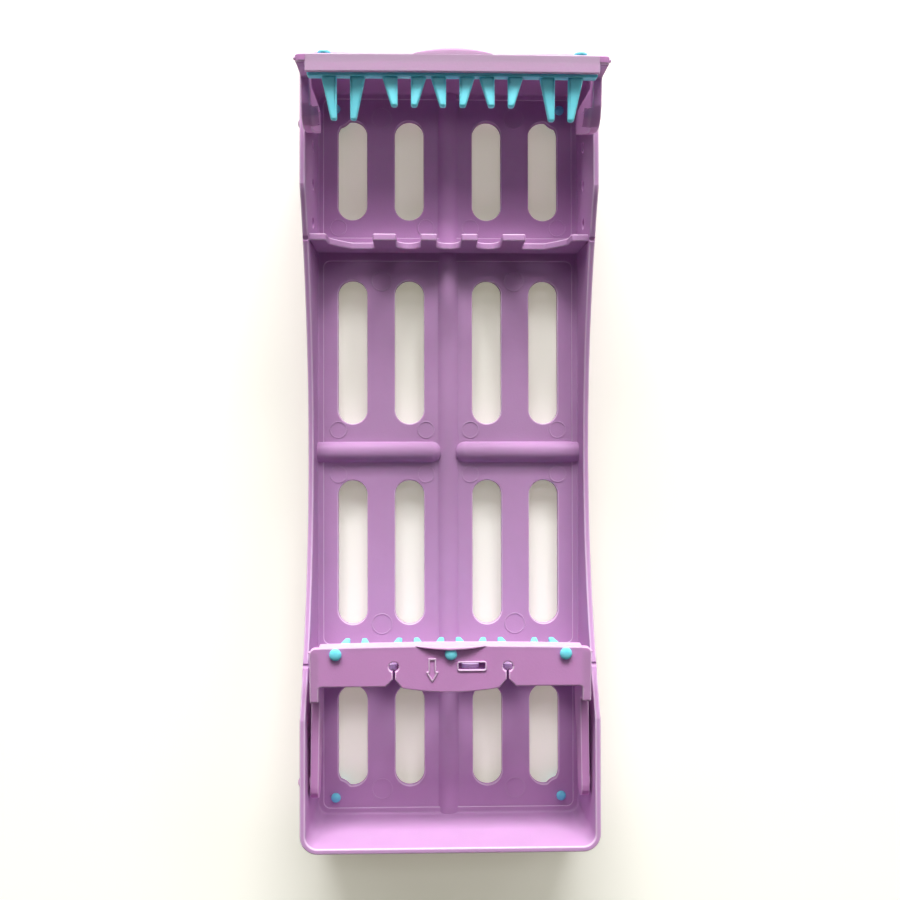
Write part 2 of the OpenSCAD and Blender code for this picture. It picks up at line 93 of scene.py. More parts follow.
# White surroundings. The world is plain white for the camera and in mirrors and clear plastic, and adds no
# light of its own to the object, which stands in the lamps' light alone.
def seen(tree):
    """1 for a ray from the camera, a mirror or a clear piece, and 0 for one that carries light: the largest
    of the three flags."""
    path = put(tree, "ShaderNodeLightPath").outputs
    clear = put(tree, "ShaderNodeMath", {0: path["Is Glossy Ray"], 1: path["Is Transmission Ray"]},
                operation="MAXIMUM")
    return put(tree, "ShaderNodeMath", {0: path["Is Camera Ray"], 1: clear.outputs[0]},
               operation="MAXIMUM").outputs[0]


world = bpy.data.worlds.new("studio")
bpy.context.scene.world = world
world.use_nodes = True
tree = world.node_tree
tree.nodes.clear()
sky = put(tree, "ShaderNodeBackground", {"Color": (1, 1, 1, 1), "Strength": seen(tree)})
put(tree, "ShaderNodeOutputWorld", {"Surface": sky.outputs[0]})


def linear(code):
    """sRGB hex to linear: a channel c under 0.04045 is divided by 12.92, and any other is
    ((c + 0.055) / 1.055) to the power 2.4."""
    c = np.array([int(code[i:i + 2], 16) for i in (1, 3, 5)]) / 255
    return (*np.where(c < 0.04045, c / 12.92, ((c + 0.055) / 1.055) ** 2.4).tolist(), 1.0)


# The sheet of white paper that it stands on. Matte coated paper scatters all light. Here it also glows a
# little for the same rays as the world, so that it stays white in the open and keeps the object's shadow.
paper_glow = 0.28
paper_half = 0.6
paper = bpy.data.materials.new("white paper")
paper.use_nodes = True
tree = paper.node_tree
tree.nodes.clear()
glow = put(tree, "ShaderNodeMath", {0: seen(tree), 1: paper_glow}, operation="MULTIPLY")
shine = put(tree, "ShaderNodeEmission", {"Color": linear("#fffbdc"), "Strength": glow.outputs[0]})
dull = put(tree, "ShaderNodeBsdfDiffuse", {"Color": linear("#f4f3ee"), "Roughness": 0.0})
both = put(tree, "ShaderNodeAddShader", {0: shine.outputs[0], 1: dull.outputs[0]})
put(tree, "ShaderNodeOutputMaterial", {"Surface": both.outputs[0]})
sheet = bpy.data.meshes.new("ground")
corners = np.array([(-1, -1, 0), (1, -1, 0), (1, 1, 0), (-1, 1, 0)]) * paper_half
sheet.from_pydata(corners.tolist(), [], [(0, 1, 2, 3)])
sheet.materials.append(paper)
ground = bpy.data.objects.new("ground", sheet)
bpy.context.scene.collection.objects.link(ground)


# Floor of the tray. Injection-moulded polypropylene, one shot with the walls and ribs; sixteen slots
# drain it, and the slots at the corners keep clear of the bosses that hold the feet.
tray_l, tray_w = 205, 77
rim_h, waist_h, dip_l = 22.6, 8, 137              # the rim over the floor, ends and waist, and its dip
wall_t, floor_t, draft, corner_r = 1.5, 2, 0.8, 4.6
foot_h = 2.5
floor_z = foot_h + floor_t
rim_z = floor_z + rim_h
slot_w, slot_x = 8, (10.8, 26.6)
mid_slot, end_slot = (27.9, 40), (78.8, 27.8)     # a row's middle along Y and its slots' length
foot_x, foot_y = 31.3, 95.8
boss_r, hole_r = 5, 0.95                          # what the slots keep clear of round a foot, and its hole
edge_r = 0.35
floor_in = 0.9                                    # from the walls' outer face in to the floor's side
hair = 0.01                                       # keeps the ends of two arcs apart
apart = 0.02                                      # keeps two forms of one moulding out of one plane


def lean(z):
    """How far the walls' outer face stands in from the rim's: the draft times the share of the height that
    is left to the rim."""
    return draft * (rim_z - z) / (rim_h + floor_t)


def rounded(corners, radii, steps=6):
    """A polygon with round corners: each corner is an arc of its radius, which touches both of its sides."""
    p = np.array(corners, float)
    into, out = p - np.roll(p, 1, 0), np.roll(p, -1, 0) - p
    into /= np.linalg.norm(into, axis=1)[:, None]
    out /= np.linalg.norm(out, axis=1)[:, None]
    turn = np.arctan2(into[:, 0] * out[:, 1] - into[:, 1] * out[:, 0], (into * out).sum(1))
    r = np.broadcast_to(radii, len(p))
    left = np.stack([-into[:, 1], into[:, 0]], 1)
    start = p - into * (r * np.tan(np.abs(turn) / 2))[:, None]
    spoke = -left * (r * np.sign(turn))[:, None]
    angle = turn[:, None] * np.linspace(0, 1, steps)
    c, s = np.cos(angle), np.sin(angle)
    arc = np.stack([c * spoke[:, :1] - s * spoke[:, 1:], s * spoke[:, :1] + c * spoke[:, 1:]], -1)
    line = ((start - spoke)[:, None] + arc).reshape(-1, 2)
    return line[np.linalg.norm(line - np.roll(line, 1, 0), axis=1) > 1e-4]


def box_line(x0, y0, x1, y1, r, steps=6):
    """A rectangle with round corners, anticlockwise."""
    return rounded([(x0, y0), (x1, y0), (x1, y1), (x0, y1)], r, steps)


def circle(x, y, r, steps=32):
    """A circle, anticlockwise: its centre plus r times the cosine and sine of evenly spread angles."""
    a = np.arange(steps) * 2 * np.pi / steps
    return np.stack([x + r * np.cos(a), y + r * np.sin(a)], 1)


def mitre(line, least=0.35):
    """For each point, the move that shifts both of its sides one to the left: the sum of their normals over
    1 + the cosine between them. At a sharp corner that divisor is a least value, so the move stays short."""
    into, out = line - np.roll(line, 1, 0), np.roll(line, -1, 0) - line
    a, b = (np.stack([-d[:, 1], d[:, 0]], 1) / np.linalg.norm(d, axis=1)[:, None] for d in (into, out))
    return (a + b) / np.maximum(1 + (a * b).sum(1), least)[:, None]


def side(low, high, r, steps=5, band=0.12):
    """A plate's side as rows of inset, height and edge weight, the share of painted highlight: a quarter
    circle at each edge with a narrow band beside it."""
    t = np.linspace(0, np.pi / 2, steps)
    foot = np.stack([r - r * np.sin(t), low + r - r * np.cos(t), np.sin(2 * t) ** 0.5], 1)
    head = foot[::-1] * (1, -1, 1) + (0, low + high, 0)
    band_z = min(band, (high - low - 2 * r) / 3)
    middle = [(0, low + r + band_z, 0), (0, high - r - band_z, 0)]
    return np.concatenate([[(r + band, low, 0)], foot, middle, head, [(r + band, high, 0)]])


flat = np.eye(3)


def moulding(lines, profile, axes=flat, at=(0, 0, 0), pull=None):
    """A closed form. Each outline is carried through the profile: inset along its mitres, height along the
    third axis. The first and last outlines are filled. Outer outlines run anticlockwise and holes clockwise,
    so that solid matter lies on their left. Axes are the frame's three directions as rows, at is its origin,
    and pull scales the mitres' two parts."""
    inset, height, edge = np.array(profile, float).T
    rows = len(inset)
    points, quads, weight, ends, count = [], [], [], ([], []), 0
    for line in lines:
        m = len(line)
        shift = mitre(line) if pull is None else mitre(line) * pull
        ring = line[None] + inset[:, None, None] * shift[None]
        level = np.broadcast_to(height[:, None, None], (rows, m, 1))
        points.append(np.concatenate([ring, level], -1).reshape(-1, 3))
        i = count + np.arange(rows * m).reshape(rows, m)
        j = np.roll(i, -1, 1)
        quads.append(np.stack([i[:-1], j[:-1], j[1:], i[1:]], -1).reshape(-1, 4))
        weight.append(np.repeat(edge, m))
        ends[0].append(i[0])
        ends[1].append(i[-1])
        count += rows * m
    points = np.concatenate(points)
    caps = []
    for end, up in zip(ends, (-1, 1)):
        order = np.concatenate(end)
        t = order[np.array(tessellate_polygon([points[e].tolist() for e in end]))]
        a, b, c = (points[t[:, k], :2] for k in range(3))
        area = (b - a)[:, 0] * (c - a)[:, 1] - (b - a)[:, 1] * (c - a)[:, 0]
        caps.append(np.where((area * up > 0)[:, None], t, t[:, ::-1]))
    placed = points @ np.array(axes, float) + at
    return placed, np.concatenate(quads), np.concatenate(caps), np.concatenate(weight)


crease = np.radians(42)


def solid(name, forms, material):
    """One object of closed forms, smooth up to the crease angle. Their edge weights, which set the painted
    highlight, become an attribute.
    """
    start = np.cumsum([0] + [len(f[0]) for f in forms])
    points = np.concatenate([f[0] for f in forms]) / 1000
    quads = np.concatenate([f[1] + n for f, n in zip(forms, start)])
    tris = np.concatenate([f[2].reshape(-1, 3) + n for f, n in zip(forms, start)])
    mesh = bpy.data.meshes.new(name)
    mesh.from_pydata(points.tolist(), [], quads.tolist() + tris.tolist())
    edge = mesh.attributes.new("edge", "FLOAT", "POINT")
    edge.data.foreach_set("value", np.concatenate([f[3] for f in forms]))
    mesh.shade_smooth()
    mesh.set_sharp_from_angle(angle=crease)
    mesh.materials.append(material)
    made = bpy.data.objects.new(name, mesh)
    bpy.context.scene.collection.objects.link(made)
    return made


def piece(name, forms, material, body, node):
    """A solid in the given material that rides on a body and stands for a node, whose own mesh it hides."""
    made = solid(name, forms, material)
    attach(made, body)
    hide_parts(node)
    return made


def moulded(name, body_colour, highlight_colour, grain_mm, rough):
    """Moulded polypropylene with a satin grain: the tool's fine texture as bump and in the roughness, a
    faint flow mottle between the colour and a darker one, and a painted highlight: a lighter colour by the
    edge weight, which lies along the rounded edges."""
    mottle_mm, darkness, highlight_share = 9, 0.9, 0.6
    material = bpy.data.materials.new(name)
    material.use_nodes = True
    tree = material.node_tree
    tree.nodes.clear()
    place = put(tree, "ShaderNodeTexCoord").outputs["Object"]
    mottle = put(tree, "ShaderNodeTexNoise", {"Vector": place, "Scale": 1000 / mottle_mm, "Detail": 3.0,
                                              "Roughness": 0.55})
    grain = put(tree, "ShaderNodeTexNoise", {"Vector": place, "Scale": 1000 / grain_mm, "Detail": 2.0})
    edge = put(tree, "ShaderNodeAttribute", attribute_name="edge")
    # Painted highlight: the edge weight mixes a light colour into the body colour along rounded edges.
    highlight_mix = put(tree, "ShaderNodeMath", {0: edge.outputs["Fac"], 1: highlight_share}, operation="MULTIPLY")
    dark = tuple(darkness * c for c in linear(body_colour)[:3]) + (1.0,)
    flow = put(tree, "ShaderNodeMix", {0: mottle.outputs["Fac"], 6: dark, 7: linear(body_colour)},
               data_type="RGBA")
    colour = put(tree, "ShaderNodeMix", {0: highlight_mix.outputs[0], 6: flow.outputs[2], 7: linear(highlight_colour)},
                 data_type="RGBA")
    satin = put(tree, "ShaderNodeMapRange", {"Value": grain.outputs["Fac"], "To Min": rough - 0.06,
                                             "To Max": rough + 0.08})
    bump = put(tree, "ShaderNodeBump", {"Height": grain.outputs["Fac"], "Strength": 0.12,
                                        "Distance": 0.0002})
    skin = put(tree, "ShaderNodeBsdfPrincipled", {
        "Base Color": colour.outputs[2], "Roughness": satin.outputs["Result"],
        "Normal": bump.outputs["Normal"], "IOR": 1.49, "Specular IOR Level": 0.12, "Subsurface Weight": 0.2,
        "Subsurface Radius": (1.0, 0.45, 0.8), "Subsurface Scale": 0.0015})
    put(tree, "ShaderNodeOutputMaterial", {"Surface": skin.outputs[0]})
    return material


# Polypropylene, 1.5 to 2 mm thick, from a spark-eroded mould. Its satin grain of about 0.2 mm is too fine
# to show, so it is drawn at 0.5 mm, and it spreads every reflection.
# Its third colour is the painted highlight on rounded edges.
tray_plastic = moulded("satin moulded polypropylene", "#ca9cca", "#f2dcf0", 0.5, 0.42)

slot_lines = []
for x in slot_x:
    for middle, length in (mid_slot, end_slot):
        line = box_line(x - slot_w / 2, middle - length / 2, x + slot_w / 2, middle + length / 2,
                        slot_w / 2 - hair, 20)
        away = line - (foot_x, foot_y)
        line = (foot_x, foot_y) + away * np.maximum(1, boss_r / np.linalg.norm(away, axis=1))[:, None]
        slot_lines += [line[::-1], -line[::-1], line * (-1, 1), line * (1, -1)]
foot_lines = [circle(x * foot_x, y * foot_y, hole_r, 20)[::-1] for x in (-1, 1) for y in (-1, 1)]
corner_inset = lean(floor_z) + floor_in
half_x, half_y = tray_w / 2 - corner_inset, tray_l / 2 - corner_inset
floor_line = box_line(-half_x, -half_y, half_x, half_y, corner_r - floor_in, 10)
floor_form = moulding([floor_line] + slot_lines + foot_lines, side(foot_h + apart, floor_z, edge_r))
piece("tray_floor", [floor_form], tray_plastic, "tray", "tray")


# Border strip. The floor's three panels are sunk 0.4 mm below the strip that runs round them,
# and the press's ejector pins left a faint ring at each of their places.
border_h, border_w, border_in = 0.4, 1.7, 1       # the strip's height, its width and its root in the floor
rib_y, rib_t, bay_gap = 56.5, 1.8, 2.4            # the ribs, and the strip on both sides of them
panel_x = tray_w / 2 - lean(floor_z) - wall_t - border_w
panel_y = tray_l / 2 - lean(floor_z) - wall_t - border_w
mid_y = rib_y - rib_t / 2 - bay_gap
bay_y = rib_y + rib_t / 2 + bay_gap
panels = [box_line(-panel_x, front, panel_x, rear, border_w, 8)[::-1]
          for front, rear in ((-mid_y, mid_y), (bay_y, panel_y), (-panel_y, -bay_y))]
border = moulding([floor_line] + panels, side(floor_z - border_in, floor_z + border_h, 0.2, 4))
ring_t, ring_h, ring_in = 0.3, 0.12, 0.3          # the rings are drawn higher than they are, so they show
pins = [(x, y, 2.4) for x in (6.2, 30.6) for y in (6.2, 62.7)] + [(18.5, 47.8, 2.9), (18.5, 93.5, 2.9)]
rings = [moulding([circle(i * x, j * y, r), circle(i * x, j * y, r - ring_t)[::-1]],
                  side(floor_z - ring_in, floor_z + ring_h, 0.05, 3, 0.03))
         for x, y, r in pins for i in (-1, 1) for j in (-1, 1)]
piece("tray_border", [border] + rings, tray_plastic, "tray", "tray")


# Stiffening ridges. One low round ridge runs the tray's length, and a higher one crosses it,
# with a gap for the long one to pass; both are solid and blend into the floor.
ridge_w, ridge_h, ridge_in = 5.6, 1.2, 1.5
cross_w, cross_h, cross_in, cross_gap = 5.8, 2.3, 1.2, 3.7
along = np.array([(1, 0, 0), (0, 0, 1), (0, -1, 0)])


def bow(w, h, steps, flare=0.35, lift=0.06):
    """Half widths and heights of a round ridge w wide and h high, from edge to top: a circle's cap that
    starts a little above the floor, on a small flare."""
    r = (w * w / 4 + h * h) / (2 * h)
    x = w / 2 * np.cos(np.linspace(0, np.pi / 2, steps))
    z = h - r + np.sqrt(r * r - x * x)
    return np.concatenate([[w / 2 + flare], x]), np.concatenate([[0], np.maximum(z, lift)])


x, z = bow(ridge_w, ridge_h, 9)
ridge_line = np.concatenate([[(-x[0], -ridge_in), (x[0], -ridge_in)], np.stack([x, z], 1),
                             np.stack([-x, z], 1)[-2::-1]])
ridge_end = tray_l / 2 - wall_t
long_ridge = moulding([ridge_line], [(0, -ridge_end, 0), (0, ridge_end, 0)], along, (0, 0, floor_z))

# The higher ridge's rows close in towards its top, but stop just short of a line, and its outer end, in
# the wall, isn't drawn in along the ridge
x, z = bow(cross_w, cross_h, 10)
short = 0.97
half_cross = cross_w / 2
reach_x = tray_w / 2 - lean(floor_z) - wall_t / 2
cross_line = rounded([(cross_gap / 2, -half_cross), (reach_x, -half_cross), (reach_x, half_cross),
                      (cross_gap / 2, half_cross)], (half_cross - hair, hair, hair, half_cross - hair), 14)
held = np.stack([cross_line[:, 0] < reach_x - 1, np.ones(len(cross_line))], 1)
cross_rows = [(0, -cross_in, 0)] + [(max(half_cross - w, 0) * short, h, 0) for w, h in zip(x[1:], z[1:])]
crosses = [moulding([cross_line], cross_rows, axes, (0, 0, floor_z), held)
           for axes in (flat, np.diag((-1, -1, 1)))]
piece("tray_ridges", [long_ridge] + crosses, tray_plastic, "tray", "tray")


# Cross ribs. Two plates stand from wall to wall, moulded with the tray; three narrow notches hold
# instrument handles and two wide ones, with a sloping side, hold thick ones.
rib_h, rib_in, rib_gap = 15.6, 1, 0.1             # height, root in the floor, and short of the wall's middle
notch_d, notch_w, notch_pitch = 10.6, 6.4, 10.8
wide_in, wide_out, wide_edge = 20.2, 32.8, 0.38   # a wide notch's two sides, and its upper edge's corner
rib_half = tray_w / 2 - lean(floor_z) - wall_t / 2 - rib_gap
wide = wide_out - wide_in
top, low = rib_h, rib_h - notch_d


def shaped(corners, steps=7):
    """An outline from corners that are given with their radii."""
    c = np.array(corners, float)
    return rounded(c[:, :2], c[:, 2], steps)


# Corners run from the right wall to the left one. The slope's are at shares of the wide notch's width.
right = [(rib_half, -rib_in, 0.2), (rib_half, top, 0.2), (wide_out - wide_edge, top, 0.7)]
right += [(wide_in + across * wide, low + up * wide, r)
          for across, up, r in ((0.94, 0.45, 2.5), (0.8, 0.3, 2.0), (0.5, 0, 1.5))]
right += [(wide_in, low, 1.2), (wide_in, top, 0.6)]
round_r = notch_w / 2 - hair
narrow = [(x + i * notch_w / 2, z, r) for x in (notch_pitch, 0, -notch_pitch)
          for i, z, r in ((1, top, 0.6), (1, low, round_r), (-1, low, round_r), (-1, top, 0.6))]
rib_line = shaped(right + narrow + [(-x, z, r) for x, z, r in right[::-1]], 9)
rib_side = side(-rib_t / 2, rib_t / 2, 0.3)
ribs = [moulding([rib_line], rib_side, along, (0, y, floor_z)) for y in (-rib_y, rib_y)]
piece("tray_ribs", ribs, tray_plastic, "tray", "tray")


# Walls. A shell 1.5 mm thick, drawn out of the mould by its draft; both long sides dip in one round
# sweep to the waist. Bores for the trunnions and small steam vents go through the sides.
dip = rim_h - waist_h
dip_r = (dip_l ** 2 / 4 + dip ** 2) / (2 * dip)
hinge_y, axis_z, bore_r = 86.4, floor_z + 15, 1.28
vent_r, vent_z, vent_first, vent_pitch = 1.5, floor_z + 8.8, 61.8, 10.4
nick_r, nick_y, nick_up = 0.7, rib_y - rib_t / 2, 0.25     # a small nick in the rim beside each rib's end
straight_y = tray_l / 2 - corner_r


def rim_height(y):
    """The rim's height over the feet: full height, or under the dip's circle the circle's height if that
    is less."""
    y = np.minimum(np.abs(y), dip_l / 2)
    return np.minimum(rim_z, floor_z + waist_h + dip_r - np.sqrt(dip_r ** 2 - y ** 2))


# The outline as unit places and facing angles: for each quarter turn one straight side, then one corner
dip_end = dip_l / 2 / straight_y
stations = np.unique(np.concatenate([np.linspace(-1, 1, 81), [-dip_end, dip_end]]))[1:]
ends = np.linspace(-1, 1, 13)[1:]
turns = np.linspace(0, np.pi / 2, 13)[1:]
outline = []
for quarter, (nx, ny) in enumerate(((1, 0), (0, 1), (-1, 0), (0, -1))):
    t = ends if ny else stations
    outline.append(np.stack([nx - ny * t, ny + nx * t, 0 * t + quarter * np.pi / 2], 1))
    outline.append(np.stack([0 * turns + nx - ny, 0 * turns + ny + nx, turns + quarter * np.pi / 2], 1))
kx, ky, facing = np.concatenate(outline).T

# The shell's section from the foot of its outer face over the rim to the floor, as inset, height and edge
# weight. Heights are counted from the tray's underside, the rim, the border strip and the underside again.
rim_r, fillet = 0.45, 0.6
band_w, band_h = 0.1, 0.2     # flat bands beside the rounds, which keep the edge weight within them
t = np.linspace(0, np.pi / 2, 6)
c, s = np.cos(t), np.sin(t)
outer = [(0.5, 0, 0), (0.5, 0.7, 0), (0.3, 1.05, 0.5), (0, 1.35, 0), (0, 1.6, 0)]
rim = [(0, -rim_r - band_h, 0)] + list(zip(rim_r - rim_r * c, rim_r * s - rim_r, np.sin(2 * t) ** 0.5))
rim += [(rim_r + band_w, 0, 0), (wall_t - rim_r - band_w, 0, 0)]
rim += list(zip(wall_t - rim_r + rim_r * s, rim_r * c - rim_r, np.sin(2 * t) ** 0.5))
rim += [(wall_t, -rim_r - band_h, 0)]
inner = [(wall_t, band_h + fillet, 0)] + list(zip(wall_t + fillet - fillet * c, fillet - fillet * s, 0 * t))
inner += [(wall_t + fillet, -0.5, 0), (wall_t - 0.3, -0.8, 0)]
under = [(wall_t - 0.3, 0, 0)]
rim_here = rim_height(ky * straight_y)
bases = ((outer, foot_h), (rim, rim_here), (inner, floor_z + border_h), (under, foot_h))
rows = [(i, base + z + 0 * rim_here, e) for part, base in bases for i, z, e in part]
height = np.stack([z for _, z, _ in rows])
depth = np.array([i for i, _, _ in rows])[:, None]
inset, radius = depth + lean(height), corner_r - depth
wall_points = np.stack([kx * (tray_w / 2 - inset - radius) + radius * np.cos(facing),
                        ky * (tray_l / 2 - inset - radius) + radius * np.sin(facing), height], -1)
n, m = height.shape
i = np.arange(n * m).reshape(n, m)
j = np.roll(i, -1, 1)
wall_quads = np.stack([i, j, np.roll(j, -1, 0), np.roll(i, -1, 0)], -1).reshape(-1, 4)
wall_edge = np.repeat([e for _, _, e in rows], m)
shell = (wall_points.reshape(-1, 3), wall_quads, np.zeros((0, 3), int), wall_edge)
tray_walls = piece("tray_walls", [shell], tray_plastic, "tray", "tray")

# The holes are drilled with a boolean, because a grid has no place for them
sideways = np.array([(0, 1, 0), (0, 0, 1), (1, 0, 0)])
holes = [(vent_first + k * vent_pitch, vent_z, vent_r, 28) for k in range(3)]
holes += [(hinge_y, axis_z, bore_r, 28), (nick_y, rim_height(nick_y) + nick_up, nick_r, 16)]
through = [(0, -tray_w, 0), (0, tray_w, 0)]
drill = solid("drill", [moulding([circle(end * y, z, r, steps)], through, sideways)
                        for y, z, r, steps in holes for end in (-1, 1)], tray_plastic)
cut = tray_walls.modifiers.new("holes", "BOOLEAN")
cut.operation, cut.solver, cut.object = "DIFFERENCE", "EXACT", drill
graph = bpy.context.evaluated_depsgraph_get()
bored = bpy.data.meshes.new_from_object(tray_walls.evaluated_get(graph), depsgraph=graph)
tray_walls.modifiers.clear()
tray_walls.data = bored
bored.set_sharp_from_angle(angle=crease)
bpy.data.objects.remove(drill)


# Clamps. Each is one stiff moulding: a bar with a flange along its inner edge, a springy tongue
# between two keyhole slits, an arm at each side with a keel, and trunnions that snap into the walls.
# Their forms are drawn across, along and above the arms from the hinge axis, and then turned open.
clamp_w, reach = 71.2, 38.3                       # across, and from the hinge axis to the bar's inner edge
bar_b, bar_t, bar_d, bulge = 7.8, 1.8, 10.6, 1.5  # the bar's top, thickness, depth and tongue's bulge
arm_t, arm_top, arm_front, arm_splay = 2.2, 4, 28.3, 0.6
leg_l, eye_low = 4, 2.3                           # the step behind the bar, and the eye's lower edge
keel_d, keel_t, keel_back = 6, 1.9, 24.6
key_x, key_r, key_in, key_slit, key_flare = 14.4, 1.25, 5.5, 0.6, 2.1
arch, flange_half, flange_t, flange_h = 0.5, 33.3, 1.0, 4
bar_back, bar_low = reach - bar_d, bar_b - bar_t
half_w, arm_in = clamp_w / 2, clamp_w / 2 - arm_t
leg_a, mouth = bar_back - leg_l, key_x - key_flare
behind, below = 0.06, 0.08                        # the bar's edge behind the flange's face, and the flange's
                                                  # edge below the bar's top, so that no two faces coincide
# Its third colour is the painted highlight on rounded edges.
clamp_plastic = moulded("satin moulded polypropylene, clamps", "#d699d0", "#f6def2", 0.5, 0.4)


def inner_edge(x):
    """The bar's inner edge: the reach less a slow curve, the arch times the square of x over the flange's
    half width."""
    return reach - arch * (x / flange_half) ** 2


def back_edge(x):
    """The tongue's back edge: the bar's straight back edge moved out by a parabola that ends at the
    keyholes."""
    return bar_back - bulge * (1 - (x / key_x) ** 2)


def keyhole(x, left_a, right_a):
    """A keyhole's corners from left to right, each with its radius: flare, slit, most of a circle, slit and
    flare."""
    a = np.radians(np.linspace(256, -76, 23))
    ring = np.stack([x + key_r * np.cos(a), reach - key_in + key_r * np.sin(a), 0 * a], 1).tolist()
    neck = bar_back + key_flare - key_slit / 2
    return [(x - key_flare, left_a, 0.4), (x - key_slit / 2, neck, 0.5), *ring,
            (x + key_slit / 2, neck, 0.5), (x + key_flare, right_a, 0.4)]


tongue_half, crown_half = mouth - 1, 31
tongue = [(x, back_edge(x), 0) for x in np.linspace(-tongue_half, tongue_half, 17)]
crown = [(x, inner_edge(x) - behind, 0) for x in np.linspace(crown_half, -crown_half, 25)]
bar_line = shaped([(-half_w, leg_a, 0.3), (-arm_in, leg_a, 0.3), (-arm_in, bar_back, 0.8)]
                  + keyhole(-key_x, bar_back, back_edge(mouth)) + tongue
                  + keyhole(key_x, back_edge(mouth), bar_back)
                  + [(arm_in, bar_back, 0.8), (arm_in, leg_a, 0.3), (half_w, leg_a, 0.3),
                     (half_w, inner_edge(half_w), 1.6)] + crown + [(-half_w, inner_edge(half_w), 1.6)])
lock_x, lock_a, lock_w, lock_d = 5.3, reach - 5.3, 6.8, 1.85


def lock_box(out, r):
    """The locking slot's outline, moved out by a distance all round."""
    return box_line(lock_x - lock_w / 2 - out, lock_a - lock_d / 2 - out, lock_x + lock_w / 2 + out,
                    lock_a + lock_d / 2 + out, r)


lock_line = lock_box(0, 0.4)[::-1]
clamp_forms = [moulding([bar_line, lock_line], side(bar_low, bar_b, 0.35))]


def strip_line(half, front, back, r):
    """A band that follows the bar's inner edge, from one distance behind it to another, with round
    corners."""
    x = np.linspace(-half, half, 41)
    near, far = inner_edge(x) - back, inner_edge(x) - front
    radii = np.zeros(82)
    radii[[0, 40, 41, 81]] = r
    return rounded(np.concatenate([np.stack([x, near], 1), np.stack([x, far], 1)[::-1]]), radii, 5)


def with_highlight(profile, least):
    """A profile whose edge weight, the share of painted highlight, is no less than a least value anywhere.
    """
    return np.maximum(profile, (-np.inf, -np.inf, least))


# The flange is painted pale all over as a highlight, and palest at its rounded edges.
flange_side = with_highlight(side(bar_b - flange_h, bar_b - below, 0.25), 0.7)
clamp_forms.append(moulding([strip_line(flange_half, 0, flange_t, 0.3)], flange_side))

# Raised lines on the bar: an arrow's outline and the rim of the slot, 0.25 mm high, painted pale as a
# highlight
arrow_x, arrow_a, arrow_l, arrow_w = -4.7, reach - 3.2, 6.2, 3.2
mark_w, mark_h, mark_in = 0.35, 0.25, 0.4
neck, shaft, wing = -0.56 * arrow_l, 0.3 * arrow_w, arrow_w / 2
arrow = np.array([(-shaft, 0), (-shaft, neck), (-wing, neck), (0, -arrow_l), (wing, neck), (shaft, neck),
                  (shaft, 0)])
arrow_line = rounded(arrow + (arrow_x, arrow_a), 0.12, 4)
arrow_inner = arrow_line + mark_w * mitre(arrow_line)
mark_side = with_highlight(side(bar_b - mark_in, bar_b + mark_h, 0.1, 4, 0.03), 0.9)
clamp_forms += [moulding([arrow_line, arrow_inner[::-1]], mark_side),
                moulding([lock_box(mark_w, 0.7), lock_line], mark_side)]


def tube(rows, edge=0.0):
    """A closed form through rows of points, each row a closed ring: quads between the rows, and a fan at
    each end."""
    n, m = rows.shape[:2]
    i = np.arange(n * m).reshape(n, m)
    j = np.roll(i, -1, 1)
    k = np.arange(1, m - 1)
    quads = np.stack([i[:-1], j[:-1], j[1:], i[1:]], -1).reshape(-1, 4)
    fans = np.concatenate([np.stack([0 * k, k + 1, k], 1), np.stack([0 * k, k, k + 1], 1) + (n - 1) * m])
    return rows.reshape(-1, 3), quads, fans, np.full(n * m, edge)


# Thumb lip on the inner edge: thin, highest in the middle, and fading out to both ends. Its section is
# given as shares of its thickness and height.
lip_half, lip_h, lip_t, lip_in = 9, 1.3, 0.9, 0.6
least_t, least_h = 0.12, 0.05
section = np.array([(1, -1), (1, 0.5), (0.92, 0.85), (0.7, 1), (0.3, 1), (0.08, 0.85), (0, 0.5), (0, -1)])
x = np.linspace(-0.99, 0.99, 31)[:, None]
fade = 1 - x ** 2
lip_a = inner_edge(x * lip_half) - apart - section[:, 0] * (lip_t * fade + least_t)
lip_b = bar_b - least_h + section[:, 1] * (lip_h * fade + least_h)
lip_b = np.where(section[:, 1] < 0, bar_b - lip_in, lip_b)
lip = np.stack([x * lip_half + 0 * lip_a, lip_a, lip_b], -1)
# The whole lip is painted pale as a highlight, at an edge weight of 0.6.
clamp_forms.append(tube(lip[:, ::-1], 0.6))

# Arms: a plate at each side that splays out towards the hinge, with a thicker keel under its front part.
# Corners are given along and above the arm with their radii, and run round from the eye's lower edge.
keel_low = [(25.3, -5.4, 2), (27.3, -3.9, 2)]
arm_line = shaped([(0, -eye_low, 3), (15, -5.1, 8), (22.1, -keel_d, 6), *keel_low,
                   (arm_front, -1, 3), (arm_front, bar_low - 0.9, 0.6), (reach - 1.7, bar_low - 0.1, 0.3),
                   (reach - 1.7, bar_b - 0.03, 0.2), (leg_a + apart, bar_b - 0.03, 0.3),
                   (leg_a, arm_top, 0.8), (0, arm_top, 4), (-1.6, 3.8, 1.5), (-3, 2.8, 1.2),
                   (-4, 0.8, 1.2), (-3.8, -0.7, 1.2), (-2.6, -1.9, 1)], 5)
keel_line = shaped([(keel_back, -5.6, 0.2), *keel_low, (arm_front - apart, -1.2, 0.4),
                    (keel_back, -1.2, 0.4)], 5)

# The keel stands in from the arm and is chamfered: inset, distance from the middle plane and edge weight,
# the share of painted highlight.
# Its insets act hardly at all along the arm, and less on its lower corners than on its upper ones.
keel_rows = [(1.2, arm_in - keel_t, 0), (1.2, arm_in - keel_t + apart, 0), (0.7, arm_in - keel_t + 0.7, 0),
             (0.05, arm_in - 0.35, 0.3), (0, arm_in, 0), (0, arm_in + 0.5, 0)]
keel_pull = np.stack([0 * keel_line[:, 0] + 0.15, np.where(keel_line[:, 1] > -3.2, 1.0, 0.45)], 1)


